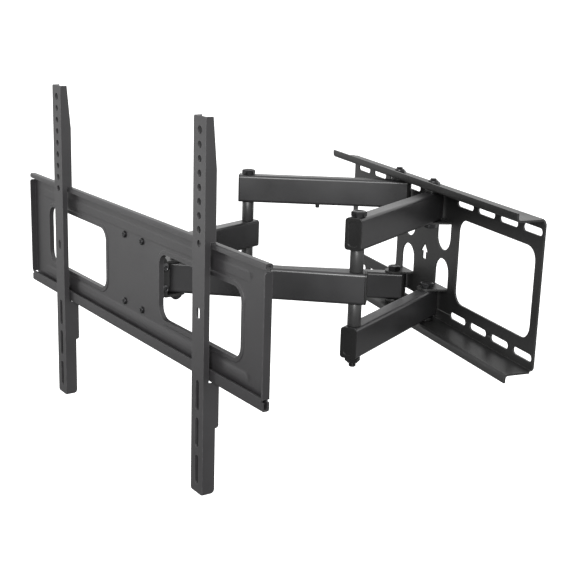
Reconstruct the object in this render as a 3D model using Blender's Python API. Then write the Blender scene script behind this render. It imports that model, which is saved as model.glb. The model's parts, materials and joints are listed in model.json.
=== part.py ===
"""Full motion TV wall mount with two folding arms (metres, +Z up, wall at y = 0)."""

import math

import bmesh
import bpy
from mathutils import Matrix, Vector

for old in list(bpy.data.objects):
    bpy.data.objects.remove(old, do_unlink=True)

MM = 0.001
GAP = 0.3                      # free gap between touching pieces
SEG = 24                       # facets of a full circle

# Frame: dimensions below are in millimetres from the arms' middle plane and
# the front face of the wall plate; BASE puts the wall mount point at the origin.
BASE = (0.0, -2.5, -30.0)

# Wall plate
SHEET = 2.5
WALL_X0 = -250.0
WALL_X1 = 290.0
WALL_H = 97.0
FLANGE_DEPTH = 37.3
LIP = 9.0
WINDOW_X = (91.0, 276.0)
WINDOW_X_LEFT = (-237.0, -89.0)
WINDOW_Z = 59.0
WINDOW_R = 18.0
SLOT_Z = 79.7
SLOT_LEN = 42.0
SLOT_H = 9.6
SLOTS_RIGHT = (104.0, 157.6, 211.2, 264.8)
SLOTS_LEFT = (-46.0, -102.0, -158.5, -215.0)
ARCH_W = 38.0
ARCH_TIP = 6.0
TONGUE_TOP = 48.7
TONGUE_R = 13.5

# Arms
PIVOT_X = 51.1
PIVOT_Y = -21.7
INNER_LEN = 220.6
OUTER_LEN = 227.5
TUBE_W = 22.5
TUBE_H = 40.0
TUBE_T = 2.0
TUBE_R = 4.0
TUBE_END = 11.5
CAP_T = 2.0
WALL_CAP = 6.5
NOSE = 6.0
UPPER_Z = 69.0
BORE = 5.3
SHANK = 4.7
SPACER_R = 8.6
HEAD_ACROSS = 13.0
HEAD_SHANK = 4.0
HEAD_BORE = 4.5
OPEN_BORE = 7.3                # eased bore at the left head pivot

# Head and TV side: local frame u along the TV plate, w toward the wall
TV_YAW = math.radians(12.85)
TV_ORIGIN = (34.98, -455.14)
HEAD_W = 50.9
HEAD_U = 51.1
YOKE_W = (29.7, 32.2)
YOKE_HALF = 63.8
EAR_R = 11.2
EAR_T = 3.0
TILT_W = 26.5
TILT_Z = -10.0
LOCK_W = 26.4
LOCK_Z = 17.0
TILT_MIN = -2.0
TILT_MAX = 10.0

PLATE_HALF = 320.5
PLATE_TOP = 78.4
PLATE_BOTTOM = -85.1
PLATE_T = 2.2
RAIL_W = 8.3
WEB_W = 15.2
TOP_LIP = 6.4
BOTTOM_LIP = 15.0
TV_WINDOW_U = (75.0, 265.0)
TV_WINDOW_Z = (-44.0, 38.6)
WINDOW_LIP = 3.4               # the window edges turn back towards the wall
SCREW_U = (-20.3, 28.3)        # the screw pattern sits right of the plate's middle
SCREW_Z = (43.2, -45.8)

BRACKET_U = 196.0
BRACKET_HALF = 13.5
BRACKET_T = 2.0
BRACKET_TOP = 218.0
BRACKET_BOTTOM = -226.0
HOLE_TOP = 202.6
HOLE_PITCH = 15.85
LONG_SLOTS = (-104.0, -150.0, -196.5)


# ---------------------------------------------------------------- outlines
def arc(cx, cy, radius, start, end, steps):
    """Points of an arc, angles in degrees."""
    points = []
    for i in range(steps + 1):
        angle = math.radians(start + (end - start) * i / steps)
        points.append((cx + radius * math.cos(angle), cy + radius * math.sin(angle)))
    return points


def circle(cx, cy, radius, steps=SEG):
    return arc(cx, cy, radius, 0.0, 360.0 * (steps - 1) / steps, steps - 1)


def rounded(x0, x1, y0, y1, radius, steps=4):
    """Rounded rectangle, anticlockwise."""
    return (arc(x1 - radius, y1 - radius, radius, 0, 90, steps)
            + arc(x0 + radius, y1 - radius, radius, 90, 180, steps)
            + arc(x0 + radius, y0 + radius, radius, 180, 270, steps)
            + arc(x1 - radius, y0 + radius, radius, 270, 360, steps))


def strip(path, thickness):
    """Closed outline of a bent sheet: the path is one face, the sheet lies on its left."""
    other = []
    count = len(path)
    for i, point in enumerate(path):
        before = Vector(path[max(i - 1, 0)])
        after = Vector(path[min(i + 1, count - 1)])
        here = Vector(point)
        first = (here - before).normalized() if i > 0 else (after - here).normalized()
        second = (after - here).normalized() if i < count - 1 else first
        normal = Vector((-first.y - second.y, first.x + second.x))
        scale = thickness / max(0.2, 0.5 * normal.length)
        other.append(tuple(here + normal.normalized() * scale))
    return list(path) + other[::-1]


def corner_path(points, radius, steps=3):
    """Polyline with its inner corners rounded."""
    result = [points[0]]
    for before, here, after in zip(points, points[1:], points[2:]):
        a = Vector(here) - Vector(before)
        b = Vector(after) - Vector(here)
        a.normalize()
        b.normalize()
        start = Vector(here) - a * radius
        for i in range(steps + 1):
            t = i / steps
            p = (1 - t) ** 2 * start + 2 * t * (1 - t) * Vector(here) + t ** 2 * (Vector(here) + b * radius)
            result.append(tuple(p))
    result.append(points[-1])
    return result


# ---------------------------------------------------------------- solids
AXES = {
    "X": lambda a, b, c: (c, a, b),
    "Y": lambda a, b, c: (a, c, b),
    "Z": lambda a, b, c: (a, b, c),
}


def prism(bm, outline, low, high, axis="Z"):
    """Extrude an outline along an axis; low and high in millimetres."""
    place = AXES[axis]
    rings = []
    for level in (low, high):
        rings.append([bm.verts.new([v * MM for v in place(a, b, level)]) for a, b in outline])
    count = len(outline)
    bm.faces.new(rings[0])
    bm.faces.new(rings[1][::-1])
    for i in range(count):
        j = (i + 1) % count
        bm.faces.new((rings[0][i], rings[1][i], rings[1][j], rings[0][j]))


def taper(bm, first, second, low, high, axis="Z"):
    """Solid between two outlines with the same number of points."""
    place = AXES[axis]
    rings = []
    for outline, level in ((first, low), (second, high)):
        rings.append([bm.verts.new([v * MM for v in place(a, b, level)]) for a, b in outline])
    count = len(first)
    bm.faces.new(rings[0])
    bm.faces.new(rings[1][::-1])
    for i in range(count):
        j = (i + 1) % count
        bm.faces.new((rings[0][i], rings[1][i], rings[1][j], rings[0][j]))


def ring(bm, outer, inner, low, high, axis="Z"):
    """Extruded ring between two outlines with the same number of points."""
    place = AXES[axis]
    loops = []
    for outline in (outer, inner):
        for level in (low, high):
            loops.append([bm.verts.new([v * MM for v in place(a, b, level)]) for a, b in outline])
    count = len(outer)
    for i in range(count):
        j = (i + 1) % count
        bm.faces.new((loops[0][i], loops[1][i], loops[1][j], loops[0][j]))
        bm.faces.new((loops[2][j], loops[3][j], loops[3][i], loops[2][i]))
        bm.faces.new((loops[0][j], loops[2][j], loops[2][i], loops[0][i]))
        bm.faces.new((loops[1][i], loops[3][i], loops[3][j], loops[1][j]))


def new_object(name, build, location=(0.0, 0.0, 0.0), yaw=0.0):
    mesh = bpy.data.meshes.new(name)
    bm = bmesh.new()
    build(bm)
    bmesh.ops.recalc_face_normals(bm, faces=bm.faces)
    bm.to_mesh(mesh)
    bm.free()
    obj = bpy.data.objects.new(name, mesh)
    bpy.context.collection.objects.link(obj)
    obj.location = [(v + b) * MM for v, b in zip(location, BASE)]
    obj.rotation_euler = (0.0, 0.0, yaw)
    return obj


def combine(obj, build, operation):
    """Bake one EXACT boolean of obj with a tool solid built in its own frame."""
    tool = new_object("tool", build)
    tool.location = obj.location
    tool.rotation_euler = obj.rotation_euler
    step = obj.modifiers.new(operation.lower(), "BOOLEAN")
    step.operation = operation
    step.solver = "EXACT"
    step.object = tool
    bpy.context.view_layer.update()
    graph = bpy.context.evaluated_depsgraph_get()
    baked = bpy.data.meshes.new_from_object(obj.evaluated_get(graph))
    obj.modifiers.clear()
    obj.data = baked
    bpy.data.objects.remove(tool, do_unlink=True)
    return obj


def cut(obj, build):
    return combine(obj, build, "DIFFERENCE")


def add(obj, build):
    return combine(obj, build, "UNION")


# ---------------------------------------------------------------- materials
FINISHES = {
    "steel_coat": ((0.060, 0.060, 0.063), 0.42, 0.35),
    "tube_coat": ((0.052, 0.052, 0.055), 0.38, 0.35),
    "bracket_coat": ((0.066, 0.066, 0.069), 0.40, 0.35),
    "plastic": ((0.018, 0.018, 0.019), 0.55, 0.0),
    "spacer": ((0.050, 0.050, 0.052), 0.35, 0.4),
    "fastener": ((0.090, 0.090, 0.092), 0.34, 0.8),
}


def finish(obj, kind, smooth=False):
    colour, roughness, metallic = FINISHES[kind]
    material = bpy.data.materials.new(obj.name + "_material")
    material.use_nodes = True
    shader = material.node_tree.nodes["Principled BSDF"]
    shader.inputs["Base Color"].default_value = colour + (1.0,)
    shader.inputs["Roughness"].default_value = roughness
    shader.inputs["Metallic"].default_value = metallic
    material.diffuse_color = colour + (1.0,)
    obj.data.materials.clear()
    obj.data.materials.append(material)
    if smooth:
        for polygon in obj.data.polygons:
            polygon.use_smooth = True
        for edge in obj.data.edges:
            edge.use_edge_sharp = False
        sharpen(obj.data)
    return obj


def sharpen(mesh):
    """Mark edges sharper than 35 degrees so round pieces shade smooth."""
    bm = bmesh.new()
    bm.from_mesh(mesh)
    for edge in bm.edges:
        if len(edge.link_faces) == 2:
            edge.smooth = edge.calc_face_angle(0.0) < math.radians(35)
    bm.to_mesh(mesh)
    bm.free()


# ---------------------------------------------------------------- wall plate
def wall_profile():
    top = WALL_H
    path = [(-FLANGE_DEPTH, top + LIP), (-FLANGE_DEPTH, top), (SHEET, top),
            (SHEET, -top), (-FLANGE_DEPTH, -top), (-FLANGE_DEPTH, -top - LIP)]
    return strip(corner_path(path, 3.5)[::-1], SHEET)


def build_wall(bm):
    prism(bm, wall_profile(), WALL_X0, WALL_X1, "X")


def arrow_outline():
    """Up arrow with a short stem, cut through the middle of the plate."""
    return [(-2.1, 4.9), (8.2, -7.8), (3.3, -7.8), (3.3, -18.8), (-7.5, -18.8), (-7.5, -7.8), (-12.4, -7.8)]


def wall_cuts(bm):
    through = (-3.0, SHEET + 3.0)
    for x0, x1 in (WINDOW_X, WINDOW_X_LEFT):
        prism(bm, rounded(x0, x1, -WINDOW_Z, WINDOW_Z, WINDOW_R, 5), *through, "Y")
    for x in SLOTS_RIGHT + SLOTS_LEFT:
        for side in (-1, 1):
            z = side * SLOT_Z
            outline = rounded(x - SLOT_LEN / 2, x + SLOT_LEN / 2, z - SLOT_H / 2, z + SLOT_H / 2,
                              SLOT_H / 2 - 0.01, 4)
            prism(bm, outline, *through, "Y")
    for x in (-PIVOT_X, PIVOT_X):
        for side in (-1, 1):
            half = ARCH_W / 2
            tip = arc(x, (ARCH_TIP + half) * side, half, 180, 180 + 180 * side, 10)
            top = (TONGUE_TOP - SHEET) * side
            prism(bm, tip + [(x + half, top), (x - half, top)], *through, "Y")
    prism(bm, arrow_outline(), *through, "Y")


def wall_corners(bm):
    """Trim the flange ends to a small bevel and round the plate corners."""
    reach = WALL_H + LIP + 4
    for x, side in ((WALL_X0, -1), (WALL_X1, 1)):
        for up in (-1, 1):
            outline = [(x + side * 2, up * (WALL_H - 9)), (x + side * 2, up * reach),
                       (x - side * 9, up * reach), (x - side * 9, up * (WALL_H + 0.6))]
            outline += [(x - side * 6.5, up * (WALL_H + 0.2)), (x - side * 2.6, up * (WALL_H - 2.4)),
                        (x - side * 0.6, up * (WALL_H - 5.6))]
            prism(bm, outline, -3.4, SHEET + 3, "Y")


def tongues(bm):
    half = ARCH_W / 2
    for x in (-PIVOT_X, PIVOT_X):
        for side in (-1, 1):
            outline = [(x + half, SHEET - 0.6), (x + half, -5.0)]
            outline += arc(x, PIVOT_Y, TONGUE_R, -12, -168, 12)
            outline += [(x - half, -5.0), (x - half, SHEET - 0.6)]
            low = TONGUE_TOP * side - (SHEET if side > 0 else 0)
            prism(bm, outline, low, low + SHEET)


def wall_bores(bm):
    for x in (-PIVOT_X, PIVOT_X):
        prism(bm, circle(x, PIVOT_Y, BORE), -WALL_H - 2, -TONGUE_TOP + SHEET + 2)
        prism(bm, circle(x, PIVOT_Y, BORE), TONGUE_TOP - SHEET - 2, WALL_H + 2)


wall = new_object("wall_plate", build_wall)
cut(wall, wall_cuts)
add(wall, tongues)
cut(wall, wall_bores)
cut(wall, wall_corners)
finish(wall, "steel_coat", smooth=True)


# ---------------------------------------------------------------- linkage plan
def head_point(u, w=HEAD_W):
    c, s = math.cos(TV_YAW), math.sin(TV_YAW)
    return (TV_ORIGIN[0] + u * c - w * s, TV_ORIGIN[1] + u * s + w * c)


def elbow_point(wall_pivot, head_pivot, side):
    """Elbow on the outer side of the line from wall pivot to head pivot."""
    a = Vector(wall_pivot)
    b = Vector(head_pivot)
    d = (b - a).length
    along = (INNER_LEN ** 2 - OUTER_LEN ** 2 + d * d) / (2 * d)
    off = math.sqrt(INNER_LEN ** 2 - along ** 2)
    t = (b - a) / d
    return tuple(a + t * along + Vector((-t.y, t.x)) * off * side)


WALL_PIVOTS = {"right": (PIVOT_X, PIVOT_Y), "left": (-PIVOT_X, PIVOT_Y)}
HEAD_PIVOTS = {"right": head_point(HEAD_U), "left": head_point(-HEAD_U)}
ELBOWS = {side: elbow_point(WALL_PIVOTS[side], HEAD_PIVOTS[side], 1 if side == "right" else -1)
          for side in ("right", "left")}


# ---------------------------------------------------------------- arms
def tube_builder(length, start, end):
    outer = rounded(-TUBE_W / 2, TUBE_W / 2, -TUBE_H / 2, TUBE_H / 2, TUBE_R)
    inner = rounded(-TUBE_W / 2 + TUBE_T, TUBE_W / 2 - TUBE_T, -TUBE_H / 2 + TUBE_T,
                    TUBE_H / 2 - TUBE_T, TUBE_R - TUBE_T + 0.3)
    return lambda bm: ring(bm, outer, inner, -start, length + end, "X")


def bore_builder(far, far_radius):
    def build(bm):
        for x, radius in ((0.0, BORE), (far, far_radius)):
            prism(bm, circle(x, 0.0, radius), -TUBE_H / 2 - 2, TUBE_H / 2 + 2)
    return build


def cap_builder(x, direction):
    """Plug with a rounded cover plate closing a tube end."""
    def build(bm):
        plate = rounded(-TUBE_W / 2, TUBE_W / 2, -TUBE_H / 2, TUBE_H / 2, TUBE_R)
        place = sorted((x + direction * GAP, x + direction * (GAP + CAP_T)))
        prism(bm, plate, *place, "X")
    return build


def wall_cap_builder(x, direction):
    """Round-nosed plug for the tube end that turns next to the wall plate."""
    def build(bm):
        near = x + direction * GAP
        middle = near + direction * (WALL_CAP - NOSE)
        half = TUBE_W / 2
        outline = [(near, -half), (near, half)]
        outline += arc(middle, half - NOSE, NOSE, 90, 180, 5) + arc(middle, NOSE - half, NOSE, 180, 270, 5)
        prism(bm, outline, -TUBE_H / 2, TUBE_H / 2)
    return build


def plug_builder(x, direction):
    def build(bm):
        inset = TUBE_T + GAP
        plug = rounded(-TUBE_W / 2 + inset, TUBE_W / 2 - inset, -TUBE_H / 2 + inset,
                       TUBE_H / 2 - inset, 1.6)
        place = sorted((x - direction * 4.5, x + direction * (GAP + 0.8)))
        prism(bm, plug, *place, "X")
    return build


def recess_builder(x, direction):
    def build(bm):
        slot = rounded(-6.4, 6.4, -15.6, 15.6, 4.6)
        place = sorted((x + direction * (GAP + CAP_T - 0.8), x + direction * (GAP + CAP_T + 1)))
        prism(bm, slot, *place, "X")
    return build


def make_cap(name, x, direction, location, yaw):
    cap = new_object(name, cap_builder(x, direction), location, yaw)
    add(cap, plug_builder(x, direction))
    cut(cap, recess_builder(x, direction))
    return finish(cap, "plastic", smooth=True)


def heading(a, b):
    return math.atan2(b[1] - a[1], b[0] - a[0])


for side in ("right", "left"):
    wall_pivot = WALL_PIVOTS[side]
    elbow = ELBOWS[side]
    head = HEAD_PIVOTS[side]
    yaw = heading(wall_pivot, elbow)
    for level, z in (("upper", UPPER_Z), ("lower", -UPPER_Z)):
        tube = new_object(f"{side}_{level}_inner_tube", tube_builder(INNER_LEN, TUBE_END, TUBE_END),
                          (*wall_pivot, z), yaw)
        cut(tube, bore_builder(INNER_LEN, BORE))
        finish(tube, "tube_coat", smooth=True)
        make_cap(f"{side}_{level}_end_cap", INNER_LEN + TUBE_END, 1, (*wall_pivot, z), yaw)
        cap = new_object(f"{side}_{level}_wall_cap", wall_cap_builder(-TUBE_END, -1), (*wall_pivot, z), yaw)
        add(cap, plug_builder(-TUBE_END, -1))
        finish(cap, "plastic", smooth=True)
    yaw = heading(elbow, head)
    tube = new_object(f"{side}_outer_tube", tube_builder(OUTER_LEN, TUBE_END, TUBE_END),
                      (*elbow, 0.0), yaw)
    cut(tube, bore_builder(OUTER_LEN, HEAD_BORE if side == "right" else OPEN_BORE))
    finish(tube, "tube_coat", smooth=True)
    make_cap(f"{side}_outer_end_cap", -TUBE_END, -1, (*elbow, 0.0), yaw)


# ---------------------------------------------------------------- fasteners
def hex_outline(across):
    radius = across / math.sqrt(3.0)
    return arc(0.0, 0.0, radius, 0, 300, 5)


def head_builder(across, low, high):
    """Hex head with a chamfered crown on the high side."""
    def build(bm):
        up = 1 if high > low else -1
        rim = high - up * 1.0
        outline = hex_outline(across)
        levels = []
        for z, scale in ((low, 1.0), (rim, 1.0), (high, 0.9)):
            levels.append([bm.verts.new((x * scale * MM, y * scale * MM, z * MM)) for x, y in outline])
        bm.faces.new(levels[0])
        bm.faces.new(levels[2])
        for a, b in ((0, 1), (1, 2)):
            for i in range(6):
                j = (i + 1) % 6
                bm.faces.new((levels[a][i], levels[a][j], levels[b][j], levels[b][i]))
    return build


def make_bolt(name, point, head_low, head_high, tip, across=17.0, shank=SHANK, spin=0.0):
    bolt = new_object(name, head_builder(across, head_low, head_high), (*point, 0.0), spin)
    inside = head_low + (0.8 if head_high > head_low else -0.8)
    low, high = sorted((inside, tip))
    add(bolt, lambda bm: prism(bm, circle(0, 0, shank, 20), low, high))
    return finish(bolt, "fastener", smooth=True)


def make_nut(name, point, low, high, across=17.0, shank=SHANK, spin=0.0):
    nut = new_object(name, lambda bm: prism(bm, hex_outline(across), low, high), (*point, 0.0), spin)
    cut(nut, lambda bm: prism(bm, circle(0, 0, shank + GAP, 20), low - 1, high + 1))
    return finish(nut, "fastener", smooth=True)


def make_ring(name, point, low, high, outer, inner, kind):
    item = new_object(name, lambda bm: ring(bm, circle(0, 0, outer), circle(0, 0, inner), low, high),
                      (*point, 0.0))
    return finish(item, kind, smooth=True)


tube_top = UPPER_Z + TUBE_H / 2
tube_low = UPPER_Z - TUBE_H / 2
for side in ("right", "left"):
    point = WALL_PIVOTS[side]
    spin = math.radians(12 if side == "right" else 20)
    make_bolt(f"{side}_upper_wall_bolt", point, TONGUE_TOP - SHEET - GAP, TONGUE_TOP - SHEET - GAP - 6.4,
              WALL_H + GAP + 11.0, spin=spin)
    make_nut(f"{side}_upper_wall_nut", point, WALL_H + GAP, WALL_H + GAP + 8.4, spin=spin)
    make_ring(f"{side}_upper_wall_washer", point, tube_top + GAP, WALL_H - SHEET - GAP, 11.0, BORE,
              "plastic")
    make_bolt(f"{side}_lower_wall_bolt", point, -TONGUE_TOP + SHEET + GAP, -TONGUE_TOP + SHEET + GAP + 6.4,
              -WALL_H - GAP - 8.0, spin=-spin)
    make_nut(f"{side}_lower_wall_nut", point, -WALL_H - GAP - 7.4, -WALL_H - GAP, spin=spin)
    make_ring(f"{side}_lower_wall_washer", point, -WALL_H + SHEET + GAP, -tube_top - GAP, 11.0, BORE,
              "plastic")
    point = ELBOWS[side]
    make_bolt(f"{side}_elbow_bolt", point, tube_top + GAP, tube_top + GAP + 6.8, -tube_top - 13.5, spin=spin)
    make_nut(f"{side}_elbow_nut", point, -tube_top - GAP - 8, -tube_top - GAP, spin=spin)
    make_ring(f"{side}_upper_spacer", point, TUBE_H / 2 + GAP, tube_low - GAP, SPACER_R, BORE, "spacer")
    make_ring(f"{side}_lower_spacer", point, -tube_low + GAP, -TUBE_H / 2 - GAP, SPACER_R, BORE, "spacer")
    point = HEAD_PIVOTS[side]
    ear = TUBE_H / 2 + GAP + EAR_T
    make_bolt(f"{side}_head_bolt", point, ear + GAP, ear + GAP + 5.3, -ear - 7.3,
              across=HEAD_ACROSS, shank=HEAD_SHANK, spin=spin)
    make_nut(f"{side}_head_nut", point, -ear - GAP - 5.6, -ear - GAP,
             across=HEAD_ACROSS, shank=HEAD_SHANK, spin=spin)


# ---------------------------------------------------------------- cable clip stub
def stub(bm):
    prism(bm, circle(118.0, 0.0, 3.0, 16), -TUBE_H / 2 - 5.5, -TUBE_H / 2 - GAP)


clip = new_object("cable_clip_stub", stub, (*WALL_PIVOTS["left"], UPPER_Z),
                  heading(WALL_PIVOTS["left"], ELBOWS["left"]))
add(clip, lambda bm: prism(bm, circle(118.0, 0.0, 1.4, 12), -TUBE_H / 2 - 3, -TUBE_H / 2 + 4.5))
finish(clip, "plastic", smooth=True)
left_upper = bpy.data.objects["left_upper_inner_tube"]
cut(left_upper, lambda bm: prism(bm, circle(118.0, 0.0, 1.7, 12), -TUBE_H / 2 - 3, -TUBE_H / 2 + 6))
finish(left_upper, "tube_coat", smooth=True)


# ---------------------------------------------------------------- head yoke
HEAD_PLACE = (*head_point(0.0, 0.0), 0.0)


def yoke_ear(low, high):
    """Ear outline around both head pivots, joined by the web."""
    def build(bm):
        back = arc(HEAD_U, HEAD_W, EAR_R, 0, 90, 6)
        dip = [(HEAD_U - 9, HEAD_W + EAR_R - 2.2), (HEAD_U - EAR_R - 3, HEAD_W - 4)]
        mirror = [(-u, w) for u, w in (back + dip)[::-1]]
        front = [(-YOKE_HALF, YOKE_W[0] + 1.2), (YOKE_HALF, YOKE_W[0] + 1.2)]
        prism(bm, back + dip + mirror + front, low, high)
    return build


def yoke_tabs(bm):
    """Side tabs reaching forward to the tilt bolts."""
    half = YOKE_HALF
    top = TUBE_H / 2 + GAP + EAR_T
    back = YOKE_W[1] - 0.8
    outline = [(back, top), (LOCK_W - 1, top)] + arc(LOCK_W, LOCK_Z, 5.0, 110, 190, 4)
    outline += [(LOCK_W - 3, 4.0)] + arc(TILT_W, TILT_Z, 5.2, 150, 270, 6)
    outline += [(back, TILT_Z - 6.5)]
    for side in (-1, 1):
        low, high = sorted((side * half, side * (half - EAR_T)))
        prism(bm, outline, low, high, "X")


def side_bores(bm):
    """Bores for the tilt bolts through both side walls."""
    for w, z in ((TILT_W, TILT_Z), (LOCK_W, LOCK_Z)):
        for side in (-1, 1):
            low, high = sorted((side * (YOKE_HALF - EAR_T - 2), side * (YOKE_HALF + 2)))
            prism(bm, circle(w, z, 3.2, 16), low, high, "X")


ear_low = TUBE_H / 2 + GAP
yoke = new_object("head_yoke", lambda bm: prism(
    bm, [(-YOKE_HALF, -ear_low - EAR_T), (YOKE_HALF, -ear_low - EAR_T),
         (YOKE_HALF, ear_low + EAR_T), (-YOKE_HALF, ear_low + EAR_T)], *YOKE_W, "Y"),
    HEAD_PLACE, TV_YAW)
add(yoke, yoke_ear(ear_low, ear_low + EAR_T))
add(yoke, yoke_ear(-ear_low - EAR_T, -ear_low))
add(yoke, yoke_tabs)
cut(yoke, side_bores)
cut(yoke, lambda bm: [prism(bm, circle(u, HEAD_W, HEAD_BORE), -ear_low - 6, ear_low + 6)
                      for u in (-HEAD_U, HEAD_U)])
finish(yoke, "steel_coat", smooth=True)


# ---------------------------------------------------------------- tilt bracket
TILT_BASE = WEB_W + PLATE_T + GAP
TILT_T = 2.5
TILT_HALF = YOKE_HALF + GAP + TILT_T
EAR_REAR = 33.4


def local(w, z):
    """Tilt bracket pieces are drawn about the tilt axis."""
    return (w - TILT_W, z - TILT_Z)


def tilt_base(bm):
    outline = [(-TILT_HALF, -28), (-33, -28), (-30, -55), (38, -55), (41, -28), (TILT_HALF, -28),
               (TILT_HALF, 33), (41, 33), (38, 51), (-30, 51), (-33, 33), (-TILT_HALF, 33)]
    shifted = [(u, z - TILT_Z) for u, z in outline]
    prism(bm, shifted, TILT_BASE - TILT_W, TILT_BASE + TILT_T - TILT_W, "Y")


def tilt_ears(bm):
    outline = [(TILT_BASE + 0.5, -28), (TILT_BASE + 3.5, -27)]
    outline += [(29.5, -18), (32.2, -13), (EAR_REAR, -6), (EAR_REAR, 12), (32.4, 19), (29.4, 26.5), (25.5, 31.5),
                (TILT_BASE + 3.0, 33), (TILT_BASE + 0.5, 33)]
    for side in (-1, 1):
        low, high = sorted((side * TILT_HALF, side * (TILT_HALF - TILT_T)))
        prism(bm, [local(w, z) for w, z in outline], low, high, "X")


def tilt_slots(bm):
    radius = math.hypot(LOCK_W - TILT_W, LOCK_Z - TILT_Z)
    centre = math.degrees(math.atan2(LOCK_Z - TILT_Z, LOCK_W - TILT_W))
    first = centre - TILT_MAX - 1.0
    last = centre - TILT_MIN + 1.0
    half = 3.3
    mid_low = (radius * math.cos(math.radians(first)), radius * math.sin(math.radians(first)))
    mid_high = (radius * math.cos(math.radians(last)), radius * math.sin(math.radians(last)))
    outline = arc(0, 0, radius + half, first, last, 5)
    outline += arc(*mid_high, half, last, last + 180, 5)[1:-1]
    outline += arc(0, 0, radius - half, last, first, 5)
    outline += arc(*mid_low, half, first + 180, first + 360, 5)[1:-1]
    for side in (-1, 1):
        low, high = sorted((side * (TILT_HALF + 2), side * (TILT_HALF - TILT_T - 2)))
        prism(bm, outline, low, high, "X")
        prism(bm, circle(0, 0, 3.3, 16), low, high, "X")
    for u in SCREW_U:
        for z in SCREW_Z:
            prism(bm, circle(u, z - TILT_Z, 2.9, 16), TILT_BASE - 2 - TILT_W, TILT_BASE + TILT_T + 2 - TILT_W, "Y")


tilt_point = head_point(0.0, TILT_W)
TILT_PLACE = (*tilt_point, TILT_Z)
tilt = new_object("tilt_bracket", tilt_base, TILT_PLACE, TV_YAW)
add(tilt, tilt_ears)
cut(tilt, tilt_slots)
finish(tilt, "steel_coat", smooth=True)


def side_screw(name, side, w, z, head_r, place, drop):
    """Button head bolt through ear and tab, lying along the tilt axis."""
    start = side * (TILT_HALF + GAP)
    end = start + side * 3.6
    inner = side * (YOKE_HALF - EAR_T - 5.5)
    low, high = sorted((start, end))
    item = new_object(name, lambda bm: prism(bm, circle(w, z, head_r, 20), low, high, "X"), place, TV_YAW)
    low2, high2 = sorted((inner, start + side * 0.8))
    add(item, lambda bm: prism(bm, circle(w, z, 2.8, 16), low2, high2, "X"))
    low3, high3 = sorted((end - side * 1.8, end + side * 1))
    cut(item, lambda bm: prism(bm, [(w + a, z + b) for a, b in hex_outline(drop)], low3, high3, "X"))
    return finish(item, "fastener", smooth=True)


for side, sign in (("right", 1), ("left", -1)):
    side_screw(f"{side}_tilt_pivot_bolt", sign, 0.0, 0.0, 5.2, TILT_PLACE, 4.0)
    side_screw(f"{side}_tilt_lock_bolt", sign, LOCK_W, LOCK_Z, 5.6, HEAD_PLACE, 4.0)


# ---------------------------------------------------------------- TV plate
def shifted_z(outline):
    return [(a, b - TILT_Z) for a, b in outline]


def plate_profile():
    """Section of the TV plate (w, z): top hem, web, bottom hem."""
    path = [(RAIL_W, PLATE_TOP - TOP_LIP), (RAIL_W, PLATE_TOP), (WEB_W + PLATE_T, PLATE_TOP),
            (WEB_W + PLATE_T, PLATE_BOTTOM), (RAIL_W, PLATE_BOTTOM), (RAIL_W, PLATE_BOTTOM + BOTTOM_LIP)]
    return [(w - TILT_W, z - TILT_Z) for w, z in strip(corner_path(path, 2.6)[::-1], PLATE_T)]


def plate_ends(bm):
    for side in (-1, 1):
        low, high = sorted((side * PLATE_HALF, side * (PLATE_HALF - PLATE_T)))
        outline = [(RAIL_W - 0.6, -69), (RAIL_W + 1.4, -71), (WEB_W + 1.2, -71), (WEB_W + 1.2, 69),
                   (RAIL_W + 1.4, 69), (RAIL_W - 0.6, 67)]
        prism(bm, [local(w, z) for w, z in outline], low, high, "X")


def plate_trim(bm):
    """Corner reliefs between end flanges and rails, and the slanted rail ends."""
    for side in (-1, 1):
        for z0, z1 in ((69.6, 72.6), (-74.6, -71.6)):
            low, high = sorted((side * (PLATE_HALF - 3.2), side * (PLATE_HALF + 2)))
            outline = [(RAIL_W - 3, z0), (WEB_W + PLATE_T + 3, z0), (WEB_W + PLATE_T + 3, z1), (RAIL_W - 3, z1)]
            prism(bm, [local(w, z) for w, z in outline], low, high, "X")


def plate_ribs(bm):
    for z0, z1 in ((49.0, 61.0), (-65.5, -53.5)):
        crest = rounded(-283, 283, z0 + 1 - TILT_Z, z1 - 1 - TILT_Z, 4.9, 5)
        foot = rounded(-286.5, 286.5, z0 - 2.5 - TILT_Z, z1 + 2.5 - TILT_Z, 8.4, 5)
        taper(bm, crest, foot, WEB_W - 1.4 - TILT_W, WEB_W + 0.6 - TILT_W, "Y")
    for side in (-1, 1):
        u0, u1 = sorted((side * TV_WINDOW_U[0], side * TV_WINDOW_U[1]))
        outlines = []
        for rim in (5.0, 7.0, SHEET):
            outlines.append(rounded(u0 - rim, u1 + rim, TV_WINDOW_Z[0] - rim - TILT_Z,
                                    TV_WINDOW_Z[1] + rim - TILT_Z, 16 + rim, 5))
        taper(bm, outlines[0], outlines[1], WEB_W - 1.0 - TILT_W, WEB_W + 0.5 - TILT_W, "Y")
        prism(bm, outlines[2], WEB_W + PLATE_T - 0.4 - TILT_W, WEB_W + PLATE_T + WINDOW_LIP - TILT_W, "Y")


def plate_windows(bm):
    for side in (-1, 1):
        u0, u1 = sorted((side * TV_WINDOW_U[0], side * TV_WINDOW_U[1]))
        outline = rounded(u0, u1, TV_WINDOW_Z[0] - TILT_Z, TV_WINDOW_Z[1] - TILT_Z, 16, 5)
        prism(bm, outline, WEB_W - 4 - TILT_W, WEB_W + 9 - TILT_W, "Y")
    for u in SCREW_U:
        for z in SCREW_Z:
            prism(bm, circle(u, z - TILT_Z, 2.9, 16), WEB_W - 4 - TILT_W, WEB_W + 5 - TILT_W, "Y")


plate = new_object("tv_plate", lambda bm: prism(bm, plate_profile(), -PLATE_HALF, PLATE_HALF, "X"),
                   TILT_PLACE, TV_YAW)
add(plate, plate_ends)
add(plate, plate_ribs)
cut(plate, plate_windows)
cut(plate, plate_trim)
finish(plate, "steel_coat", smooth=True)


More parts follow.
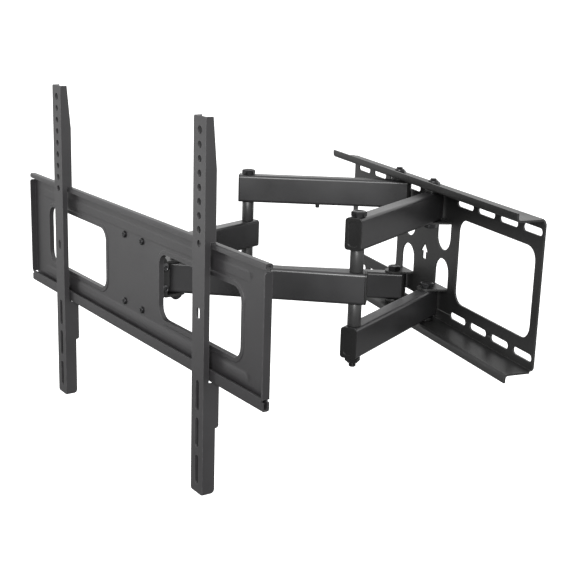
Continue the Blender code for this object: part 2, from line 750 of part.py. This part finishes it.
def plate_screw(name, u, z):
    front = WEB_W - GAP - TILT_W
    item = new_object(name, lambda bm: prism(bm, circle(u, z - TILT_Z, 4.5, 20), front - 2.2, front, "Y"),
                      TILT_PLACE, TV_YAW)
    add(item, lambda bm: prism(bm, circle(u, z - TILT_Z, 2.5, 16), front - 0.8,
                               TILT_BASE + TILT_T + 4 - TILT_W, "Y"))
    cut(item, lambda bm: prism(bm, [(u + a, z - TILT_Z + b) for a, b in hex_outline(3.4)],
                               front - 4, front - 1.3, "Y"))
    return finish(item, "fastener", smooth=True)


for number, (z, u) in enumerate([(z, u) for z in SCREW_Z for u in SCREW_U], 1):
    plate_screw(f"plate_screw_{number}", u, z)


# ---------------------------------------------------------------- vertical brackets
def flange_outline(hooked):
    """Side flange (w, z): wraps the TV plate between an upper and a lower shoulder."""
    rest = PLATE_TOP + GAP
    under = PLATE_BOTTOM - 1.9
    back = WEB_W + PLATE_T + 0.5
    finger = back + 3.4
    outline = [(0.4, BRACKET_TOP), (9.6, BRACKET_TOP), (14.6, BRACKET_TOP - 58)]
    if hooked:
        outline += [(14.6, rest + 20), (finger, rest + 14), (finger, rest - 9), (back, rest - 9), (back, rest)]
    else:
        outline += [(14.6, rest)]
    outline += [(7.4, rest), (7.4, under), (back, under), (back, under + 12), (finger, under + 12),
                (finger, -141), (finger - 1.2, -143), (16.8, -144), (16.8, BRACKET_BOTTOM + 5),
                (15.6, BRACKET_BOTTOM + 1.9), (12.6, BRACKET_BOTTOM + 0.6), (0.6, BRACKET_BOTTOM + 0.6)]
    return outline


def bracket_face(bm):
    prism(bm, rounded(-BRACKET_HALF, BRACKET_HALF, BRACKET_BOTTOM, BRACKET_TOP, 2.6, 3), 0.0, BRACKET_T, "Y")


def bracket_sides(bm):
    for side in (-1, 1):
        low, high = sorted((side * BRACKET_HALF, side * (BRACKET_HALF - BRACKET_T)))
        prism(bm, flange_outline(side < 0), low, high, "X")


def bracket_holes(bm):
    for k in range(9):
        radius = 5.0 if k == 0 else 4.3
        prism(bm, circle(0.0, HOLE_TOP - k * HOLE_PITCH, radius, 20), -2, BRACKET_T + 2, "Y")
    prism(bm, rounded(-3.5, 3.5, -12.0, 2.0, 3.49, 4), -2, BRACKET_T + 2, "Y")
    for z in LONG_SLOTS:
        prism(bm, rounded(-4.0, 4.0, z - 18.8, z + 18.8, 3.99, 4), -2, BRACKET_T + 2, "Y")


for side, sign in (("right", 1), ("left", -1)):
    place = (*head_point(sign * BRACKET_U, 0.0), 0.0)
    bracket = new_object(f"{side}_tv_bracket", bracket_face, place, TV_YAW)
    add(bracket, bracket_sides)
    cut(bracket, bracket_holes)
    finish(bracket, "bracket_coat", smooth=True)
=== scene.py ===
"""Looks of the full motion TV wall mount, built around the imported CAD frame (metres, +Z up)."""

import json
import math

import bmesh
import bpy
import numpy as np
from mathutils import Matrix, Vector


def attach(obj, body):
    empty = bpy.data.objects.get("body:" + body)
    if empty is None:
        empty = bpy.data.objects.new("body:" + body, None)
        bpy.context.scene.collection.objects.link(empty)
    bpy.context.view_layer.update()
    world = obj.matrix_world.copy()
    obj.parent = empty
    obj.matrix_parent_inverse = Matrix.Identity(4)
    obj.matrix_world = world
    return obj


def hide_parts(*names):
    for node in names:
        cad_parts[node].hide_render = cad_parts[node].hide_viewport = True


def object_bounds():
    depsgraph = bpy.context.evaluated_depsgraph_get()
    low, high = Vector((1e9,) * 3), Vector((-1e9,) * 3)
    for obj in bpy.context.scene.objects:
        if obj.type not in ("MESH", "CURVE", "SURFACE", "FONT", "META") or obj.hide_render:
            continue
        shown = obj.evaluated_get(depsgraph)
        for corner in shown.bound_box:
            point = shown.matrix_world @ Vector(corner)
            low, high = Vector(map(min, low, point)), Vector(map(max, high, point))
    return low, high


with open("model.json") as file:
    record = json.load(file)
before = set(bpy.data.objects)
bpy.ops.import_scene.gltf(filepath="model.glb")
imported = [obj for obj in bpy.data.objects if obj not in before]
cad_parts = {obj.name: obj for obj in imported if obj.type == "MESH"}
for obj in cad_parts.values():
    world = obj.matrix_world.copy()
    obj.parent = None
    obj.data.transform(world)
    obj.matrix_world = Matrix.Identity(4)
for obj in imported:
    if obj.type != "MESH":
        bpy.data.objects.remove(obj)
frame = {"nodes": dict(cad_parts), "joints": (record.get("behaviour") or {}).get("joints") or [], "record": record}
CAD_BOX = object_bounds()

MM = 0.001
SEGMENTS = 48
STEP = 2 * math.pi / SEGMENTS

BODY_OF = {n: body for body, nodes in frame["record"]["behaviour"]["bodies"].items() for n in nodes}
TILT = next(j for j in frame["joints"] if j["name"] == "tilt")
ALONG = Vector(TILT["axis"]).normalized()        # along the TV plate
OUT = Vector((ALONG.y, -ALONG.x, 0.0))           # from the TV plate to the television
UP = Vector((0.0, 0.0, 1.0))


# ---------------------------------------------------------------- materials
def link(tree, a, b):
    tree.links.new(a, b)


def node(tree, kind, **values):
    made = tree.nodes.new(kind)
    for key, value in values.items():
        if key in made.inputs:
            made.inputs[key].default_value = value
        else:
            setattr(made, key, value)
    return made


def noise(tree, where, scale, detail=2.0, rough=0.5):
    made = node(tree, "ShaderNodeTexNoise", Scale=scale, Detail=detail, Roughness=rough)
    link(tree, where, made.inputs["Vector"])
    return made.outputs["Fac"]


def spread(tree, value, low, high, start=0.0, end=1.0):
    made = node(tree, "ShaderNodeMapRange")
    made.inputs["From Min"].default_value = start
    made.inputs["From Max"].default_value = end
    made.inputs["To Min"].default_value = low
    made.inputs["To Max"].default_value = high
    link(tree, value, made.inputs["Value"])
    return made.outputs["Result"]


def blend_colour(tree, factor, a, b):
    made = node(tree, "ShaderNodeMix", data_type="RGBA")
    link(tree, factor, made.inputs["Factor"])
    for socket, value in (("A", a), ("B", b)):
        target = [i for i in made.inputs if i.name == socket and i.type == "RGBA"][0]
        if isinstance(value, tuple):
            target.default_value = (*value, 1.0)
        else:
            link(tree, value, target)
    return [o for o in made.outputs if o.type == "RGBA"][0]


def edge_mask(tree, radius, start, end):
    """1 on convex and concave edges, 0 on flat faces."""
    bevel = node(tree, "ShaderNodeBevel", samples=4, Radius=radius)
    flat = node(tree, "ShaderNodeNewGeometry")
    dot = node(tree, "ShaderNodeVectorMath", operation="DOT_PRODUCT")
    link(tree, bevel.outputs["Normal"], dot.inputs[0])
    link(tree, flat.outputs["Normal"], dot.inputs[1])
    return spread(tree, dot.outputs["Value"], 1.0, 0.0, start, end)


BROAD_SCALE = 14.0                               # slow mottling, cycles per metre
PATCH_SCALE = 90.0                               # patches along the lightened edges, which are partly wear and partly painted highlight
PEEL_STRETCH = 0.28                              # orange peel is this much coarser than the grain
# reach of the lightened edges, partly rubbed wear and partly painted highlight
WEAR_AND_HIGHLIGHT_REACH = 0.9 * MM
ROUGH_SWING = 0.05


def tint(base, factor, lift=0.0):
    return tuple(min(1.0, v * factor + lift) for v in base)


def surface(name, base, rough, grain, metallic=0.0, wear_and_highlight=0.0, bump=0.35):
    """Powder coat, plastic or plated steel: mottled colour, grain in the bump, edges lightened partly as wear and
    partly as a painted highlight.

    grain is the size of the surface texture in metres.
    """
    material = bpy.data.materials.new(name)
    material.use_nodes = True
    tree = material.node_tree
    shader = tree.nodes["Principled BSDF"]
    shader.inputs["Metallic"].default_value = metallic
    where = node(tree, "ShaderNodeTexCoord").outputs["Object"]

    broad = noise(tree, where, BROAD_SCALE, 3.0)
    fine = noise(tree, where, 1.0 / grain, 3.0, 0.6)
    peel = noise(tree, where, PEEL_STRETCH / grain, 2.0)

    mottle = spread(tree, broad, 0.0, 1.0, 0.3, 0.7)
    colour = blend_colour(tree, mottle, tint(base, 0.86), tint(base, 1.16))
    speck = spread(tree, fine, 0.0, 0.5, 0.55, 0.75)
    colour = blend_colour(tree, speck, colour, tint(base, 1.5))
    # Lightened edges: partly rubbed wear, partly a painted highlight that stands in for light caught on the
    # rounded edges
    if wear_and_highlight:
        edges = edge_mask(tree, WEAR_AND_HIGHLIGHT_REACH, 0.80, 0.985)
        patches = spread(tree, noise(tree, where, PATCH_SCALE, 3.0), 0.25, 1.0, 0.35, 0.7)
        both = node(tree, "ShaderNodeMath", operation="MULTIPLY")
        link(tree, edges, both.inputs[0])
        link(tree, patches, both.inputs[1])
        wear_and_highlight_amount = spread(tree, both.outputs[0], 0.0, wear_and_highlight)
        colour = blend_colour(tree, wear_and_highlight_amount, colour, tint(base, 5.0, 0.04))
    link(tree, colour, shader.inputs["Base Color"])

    mix = node(tree, "ShaderNodeMath", operation="ADD")
    link(tree, spread(tree, broad, rough - ROUGH_SWING, rough + ROUGH_SWING, 0.3, 0.7), mix.inputs[0])
    link(tree, spread(tree, fine, -0.05, 0.06, 0.3, 0.7), mix.inputs[1])
    link(tree, mix.outputs[0], shader.inputs["Roughness"])

    first = node(tree, "ShaderNodeBump", Strength=bump, Distance=grain * 0.25)
    link(tree, peel, first.inputs["Height"])
    second = node(tree, "ShaderNodeBump", Strength=bump * 0.6, Distance=grain * 0.12)
    link(tree, fine, second.inputs["Height"])
    link(tree, first.outputs["Normal"], second.inputs["Normal"])
    link(tree, second.outputs["Normal"], shader.inputs["Normal"])
    return material


# the last value sets how strongly the edges are lightened: partly rubbed wear, partly painted highlight
STEEL = surface("wall_powder_coat", (0.0085, 0.0085, 0.0084), 0.42, 0.55 * MM, wear_and_highlight=0.75)
TUBE = surface("tube_powder_coat", (0.0145, 0.0143, 0.0150), 0.34, 0.45 * MM, wear_and_highlight=0.7)
PLATE = surface("tv_plate_powder_coat", (0.0165, 0.0159, 0.0168), 0.40, 0.55 * MM, wear_and_highlight=0.75)
RAIL = surface("upright_powder_coat", (0.0215, 0.0208, 0.0218), 0.40, 0.50 * MM, wear_and_highlight=0.8)
PLASTIC = surface("moulded_plastic", (0.003, 0.003, 0.003), 0.38, 0.35 * MM, bump=0.2)
SPACER = surface("spacer_powder_coat", (0.020, 0.020, 0.020), 0.34, 0.45 * MM, wear_and_highlight=0.2)
BOLT = surface("black_zinc", (0.022, 0.022, 0.023), 0.30, 0.40 * MM, metallic=0.75, wear_and_highlight=0.45, bump=0.2)
SOCKET = surface("blackened_socket_screw", (0.060, 0.060, 0.062), 0.28, 0.40 * MM, metallic=0.85,
                 wear_and_highlight=0.6, bump=0.2)


# ---------------------------------------------------------------- CAD nodes kept
WELD_GAP = 0.02 * MM
FLAT_ANGLE = math.radians(0.6)                   # facets flatter than this are dissolved
SHARP_ANGLE = math.radians(33.0)                 # edges sharper than this are rounded


def soften(obj, width):
    """Weld the imported mesh, dissolve flat facets and round every sharp edge."""
    weld = obj.modifiers.new("weld", "WELD")
    weld.merge_threshold = WELD_GAP
    flat = obj.modifiers.new("flat", "DECIMATE")
    flat.decimate_type = "DISSOLVE"
    flat.angle_limit = FLAT_ANGLE
    bevel = obj.modifiers.new("edges", "BEVEL")
    bevel.width = width
    bevel.segments = 2
    bevel.limit_method = "ANGLE"
    bevel.angle_limit = SHARP_ANGLE
    bevel.use_clamp_overlap = True
    bevel.miter_outer = "MITER_ARC"
    normals = obj.modifiers.new("normals", "WEIGHTED_NORMAL")
    normals.mode = "FACE_AREA"
    normals.weight = 100
    normals.keep_sharp = True


def paint(name, material, width):
    obj = frame["nodes"][name]
    obj.data.materials.clear()
    obj.data.materials.append(material)
    for polygon in obj.data.polygons:
        polygon.use_smooth = True
    soften(obj, width)


# end of the node's name: its material and the width of its rounded edges
KEPT = {
    "wall_plate": (STEEL, 0.35 * MM),
    "head_yoke": (STEEL, 0.30 * MM),
    "tilt_bracket": (STEEL, 0.30 * MM),
    "tv_plate": (PLATE, 0.35 * MM),
    "_tv_bracket": (RAIL, 0.30 * MM),
    "_tube": (TUBE, 0.20 * MM),
    "_cap": (PLASTIC, 0.45 * MM),
    "cable_clip_stub": (PLASTIC, 0.45 * MM),
}
for cad_name in frame["nodes"]:
    for ending, (coat, edge_width) in KEPT.items():
        if cad_name.endswith(ending):
            paint(cad_name, coat, edge_width)


# ---------------------------------------------------------------- turned pieces
TIP_DEPTH = 0.05 * MM                            # the shank's radius is read this close to its tip
RIM_SHARE = 0.97                                 # points past this share of the radius are on the rim
CREASE = math.radians(38.0)


def measure(name, axis):
    """Centre line, ends and radii of a turned CAD node along an axis."""
    co = np.array([v.co for v in frame["nodes"][name].data.vertices], float)
    a = np.array(axis, float)
    side = np.cross(a, (0.0, 0.0, 1.0)) if abs(a[2]) < 0.9 else np.array((1.0, 0.0, 0.0))
    side /= np.linalg.norm(side)
    over = np.cross(a, side)
    t, p, q = co @ a, co @ side, co @ over
    cp, cq = (p.min() + p.max()) / 2, (q.min() + q.max()) / 2
    r = np.hypot(p - cp, q - cq)
    wide = r > RIM_SHARE * r.max()
    k = int(np.argmax(wide))
    return {
        "centre": side * cp + over * cq, "side": side, "over": over, "axis": a,
        "low": t.min(), "high": t.max(), "head": t[wide].min(), "radius": r.max(),
        "inner": r.min(), "shank": r[t < t.min() + TIP_DEPTH].max(),
        "spin": math.atan2(q[k] - cq, p[k] - cp),
    }


def hexagon(across):
    """Radius of a hexagon at an angle counted from one of its corners."""
    def radius(angle):
        return across / 2 / math.cos(angle % (math.pi / 3) - math.pi / 6)
    return radius


def within(shape, limit):
    return lambda angle: min(shape(angle), limit)


def turned(name, cad, axis, rows_of, material, closed=False):
    """Piece of revolution that stands for a CAD node; rows are (distance along axis, radius)."""
    m = measure(cad, axis)
    rows = rows_of(m)
    bm = bmesh.new()
    rings = []
    for t, radius in rows:
        ring = []
        for i in range(SEGMENTS):
            angle = i * STEP
            r = radius(angle) if callable(radius) else radius
            turn = m["spin"] + angle
            place = m["centre"] + m["axis"] * t
            place = place + (m["side"] * math.cos(turn) + m["over"] * math.sin(turn)) * r
            ring.append(bm.verts.new(place))
            if r == 0.0:
                break
        rings.append(ring)
    pairs = list(zip(rings, rings[1:]))
    if closed:
        pairs.append((rings[-1], rings[0]))
    for a, b in pairs:
        for i in range(SEGMENTS):
            j = (i + 1) % SEGMENTS
            if len(a) == 1:
                bm.faces.new((a[0], b[i], b[j]))
            elif len(b) == 1:
                bm.faces.new((a[i], a[j], b[0]))
            else:
                bm.faces.new((a[i], a[j], b[j], b[i]))
    bmesh.ops.recalc_face_normals(bm, faces=bm.faces)
    for edge in bm.edges:
        edge.smooth = edge.calc_face_angle(0.0) < CREASE
    mesh = bpy.data.meshes.new(name)
    bm.to_mesh(mesh)
    bm.free()
    for polygon in mesh.polygons:
        polygon.use_smooth = True
    mesh.materials.append(material)
    obj = bpy.data.objects.new(name, mesh)
    bpy.context.scene.collection.objects.link(obj)
    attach(obj, BODY_OF[cad])
    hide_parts(cad)
    return obj


THREAD_DEPTH = 0.54                              # of the pitch
ROWS_PER_TURN = 5


def thread_rows(start, end, radius, pitch):
    """Helical thread from start to end (end is the tip, lower)."""
    depth = THREAD_DEPTH * pitch
    rows = []
    count = max(4, int((start - end) / (pitch / ROWS_PER_TURN)))
    for i in range(count + 1):
        t = start + (end - start) * i / count
        fade = min(1.0, i / 4, (count - i) / 3 + 0.15)

        def profile(angle, t=t, fade=fade):
            phase = (t / pitch - angle / (2 * math.pi)) % 1.0
            tooth = min(1.0, max(0.0, abs(phase - 0.5) * 2.6 - 0.15))
            return radius - depth * tooth * fade
        rows.append((t, profile))
    return rows


CORNER = 1.155                                   # a hexagon's corner over its half width
CHAMFER_SLOPE = 0.56                             # about 30 degrees
CHAMFER_SKIN = 0.12 * MM


def bolt_rows(m):
    """Hex bolt: dished and chamfered head, washer face, plain shank, threaded tip."""
    high, low, base = m["high"], m["low"], m["head"]
    half = m["radius"] * math.cos(math.pi / 6)
    shape = hexagon(2 * half)
    shank = m["shank"]
    start = 0.95                                 # where the chamfer begins, over the half width
    dish = 0.9 * MM
    rows = [(high - dish, 0.0), (high - dish, half * 0.56), (high - 0.75 * MM, half * 0.61),
            (high - CHAMFER_SKIN, half * 0.70), (high, half * 0.76), (high, half * 0.93)]
    for i in range(6):
        limit = half * (start + (CORNER - start) * i / 5)
        fall = (limit - half * start) * CHAMFER_SLOPE
        rows.append((high - CHAMFER_SKIN - fall, within(shape, limit)))
    rows += [(base + 0.85 * MM, shape), (base + 0.5 * MM, within(shape, half * 1.09)),
             (base + 0.42 * MM, half * 0.95), (base, half * 0.95), (base, shank + 0.25 * MM),
             (base - 0.3 * MM, shank)]
    length = min(22 * MM, (base - low) * 0.45)
    rows += thread_rows(low + length, low + 0.9 * MM, shank, 1.5 * MM)
    rows += [(low, shank * 0.76), (low, 0.0)]
    return rows


def nut_rows(m):
    """Self-locking hex nut with its collar on the far side."""
    low, high = m["low"], m["high"]
    half = m["radius"] * math.cos(math.pi / 6)
    shape = hexagon(2 * half)
    bore = m["inner"]
    collar = (high - low) * 0.24
    top = high - collar
    near, far = 0.96, 0.94                       # ends of the two chamfers, over the half width
    rows = [(low, bore + 0.5 * MM), (low, half * 0.93)]
    for i in range(4):
        limit = half * (near + (CORNER - near) * i / 3)
        rows.append((low + 0.1 * MM + (limit - half * near) * 0.5, within(shape, limit)))
    for i in range(5):
        limit = half * (CORNER + (far - CORNER) * i / 4)
        rows.append((top - (limit - half * far) * CHAMFER_SLOPE, within(shape, limit)))
    rows += [(top + 0.05 * MM, half * 0.86), (top + collar * 0.45, half * 0.85),
             (top + collar * 0.85, half * 0.80), (high, half * 0.70), (high, bore + 0.7 * MM),
             (high - 0.8 * MM, bore)]
    return rows


def ring_rows(chamfer):
    """Plain ring with its outer and inner edges taken off."""
    def rows(m):
        low, high, outer, inner = m["low"], m["high"], m["radius"], m["inner"]
        c = chamfer
        return [(low, inner + c), (low, outer - c), (low + c * 0.3, outer - c * 0.3), (low + c, outer),
                (high - c, outer), (high - c * 0.3, outer - c * 0.3), (high, outer - c), (high, inner + c),
                (high - c, inner), (low + c, inner)]
    return rows


def socket_rows(domed, drive, depth):
    """Socket screw: domed or flat head with a hex recess, plain shank."""
    def rows(m):
        high, low, base = m["high"], m["low"], m["head"]
        outer, shank = m["radius"], m["shank"]
        recess = hexagon(drive)
        rim = drive * 0.62
        made = [(high - depth, 0.0), (high - depth, within(recess, drive * 0.50)),
                (high - depth + 0.3 * MM, recess), (high - 0.3 * MM, recess), (high, rim)]
        height = high - base
        for i in range(1, 7):
            angle = math.pi / 2 * i / 6
            bend = outer * domed
            made.append((base + height * (1 - domed) + height * domed * math.cos(angle),
                         max(rim + 0.05 * MM, outer - bend + bend * math.sin(angle))))
        made += [(base + 0.15 * MM, outer), (base, outer - 0.15 * MM), (base, shank + 0.1 * MM),
                 (base - 0.2 * MM, shank)]
        length = min(6 * MM, (base - low) * 0.6)
        made += thread_rows(low + length, low + 0.6 * MM, shank, 1.0 * MM)
        made += [(low, shank * 0.75), (low, 0.0)]
        return made
    return rows


DOWN = -UP
TILT_DOME, PLATE_DOME = 0.55, 0.45               # how much of the head's height is rounded
TILT_DRIVE, TILT_RECESS = 4.6 * MM, 2.2 * MM     # hex recess: across flats and depth
PLATE_DRIVE, PLATE_RECESS = 3.6 * MM, 1.5 * MM
WASHER_CHAMFER, SPACER_CHAMFER = 0.5 * MM, 0.6 * MM

for side in ("right", "left"):
    for place, head in (("upper_wall", DOWN), ("lower_wall", UP), ("elbow", UP), ("head", UP)):
        turned(f"{side}_{place}_hex_bolt", f"{side}_{place}_bolt", head, bolt_rows, BOLT)
        turned(f"{side}_{place}_lock_nut", f"{side}_{place}_nut", -head, nut_rows, BOLT,
               closed=True)
    for level in ("upper", "lower"):
        turned(f"{side}_{level}_flange_washer", f"{side}_{level}_wall_washer", UP,
               ring_rows(WASHER_CHAMFER), PLASTIC, closed=True)
        turned(f"{side}_{level}_elbow_spacer", f"{side}_{level}_spacer", UP,
               ring_rows(SPACER_CHAMFER), SPACER, closed=True)
    outward = ALONG if side == "right" else -ALONG
    for use in ("pivot", "lock"):
        turned(f"{side}_tilt_{use}_screw", f"{side}_tilt_{use}_bolt", outward,
               socket_rows(TILT_DOME, TILT_DRIVE, TILT_RECESS), SOCKET)
for number in range(1, 5):
    turned(f"plate_socket_screw_{number}", f"plate_screw_{number}", OUT,
           socket_rows(PLATE_DOME, PLATE_DRIVE, PLATE_RECESS), BOLT)


# ---------------------------------------------------------------- camera
AZIMUTH = math.radians(68.2974)
ELEVATION = math.radians(14.7478)
ROLL = math.radians(1.7321)
CAMERA_PLACE = Vector((1.397581, -0.775065, 0.322743))
SENSOR_WIDTH = 36.0                              # of the camera, in millimetres, as is the lens
LENS = 70.81

camera_data = bpy.data.cameras.new("camera")
camera_data.sensor_width = SENSOR_WIDTH
camera_data.lens = LENS
camera_data.clip_start = 0.01
camera = bpy.data.objects.new("camera", camera_data)
bpy.context.scene.collection.objects.link(camera)
back = Vector((math.sin(AZIMUTH) * math.cos(ELEVATION), -math.cos(AZIMUTH) * math.cos(ELEVATION),
               math.sin(ELEVATION)))
level = Vector((math.cos(AZIMUTH), math.sin(AZIMUTH), 0.0))
above = back.cross(level)
right = level * math.cos(ROLL) + above * math.sin(ROLL)
top = above * math.cos(ROLL) - level * math.sin(ROLL)
camera.matrix_world = Matrix.Translation(CAMERA_PLACE) @ Matrix((right, top, back)).transposed().to_4x4()
bpy.context.scene.camera = camera


# ---------------------------------------------------------------- stage
def plain(name, colour, rough, glow):
    material = bpy.data.materials.new(name)
    material.use_nodes = True
    shader = material.node_tree.nodes["Principled BSDF"]
    shader.inputs["Base Color"].default_value = (*colour, 1.0)
    shader.inputs["Roughness"].default_value = rough
    shader.inputs["Specular IOR Level"].default_value = 0.2
    shader.inputs["Emission Color"].default_value = (1.0, 1.0, 1.0, 1.0)
    shader.inputs["Emission Strength"].default_value = glow
    return material


FLOOR_DROP = 0.30
FLOOR_SIZE = 160.0
FLOOR_GLOW = 0.45
SKY_LOW = 0.30                                   # brightness of the studio below the horizon
SKY_HIGH = 1.25                                  # and above it
FADE_START, FADE_END = -0.25, -0.02              # heights of the view direction between the two
floor_z = CAD_BOX[0].z - FLOOR_DROP
bpy.ops.mesh.primitive_plane_add(size=FLOOR_SIZE, location=(0.0, 0.0, floor_z))
floor = bpy.context.object
floor.name = "floor"
floor.data.materials.append(plain("floor_white", (0.92, 0.92, 0.92), 0.8, FLOOR_GLOW))
floor.visible_glossy = False
floor.visible_diffuse = False

world = bpy.data.worlds.new("world")
world.use_nodes = True
sky = world.node_tree
direction = node(sky, "ShaderNodeSeparateXYZ")
link(sky, node(sky, "ShaderNodeTexCoord").outputs["Generated"], direction.inputs[0])
brightness = spread(sky, direction.outputs["Z"], SKY_LOW, SKY_HIGH, FADE_START, FADE_END)
link(sky, brightness, sky.nodes["Background"].inputs["Color"])
sky.nodes["Background"].inputs["Strength"].default_value = 1.0
bpy.context.scene.world = world
bpy.context.scene.view_settings.view_transform = "Standard"

CENTRE = (CAD_BOX[0] + CAD_BOX[1]) / 2


def area_light(name, place, size, power):
    """Soft light at a place counted from the object's centre, aimed back at it (metres, watts)."""
    data = bpy.data.lights.new(name, "AREA")
    data.shape = "RECTANGLE"
    data.size, data.size_y = size
    data.energy = power
    lamp = bpy.data.objects.new(name, data)
    lamp.location = CENTRE + Vector(place)
    lamp.rotation_mode = "QUATERNION"
    lamp.rotation_quaternion = Vector(place).to_track_quat("Z", "Y")
    bpy.context.scene.collection.objects.link(lamp)


area_light("key", (1.7, -1.0, 0.8), (1.2, 1.0), 60.0)
area_light("side", (-1.0, -1.4, -0.25), (0.5, 0.5), 1.3)
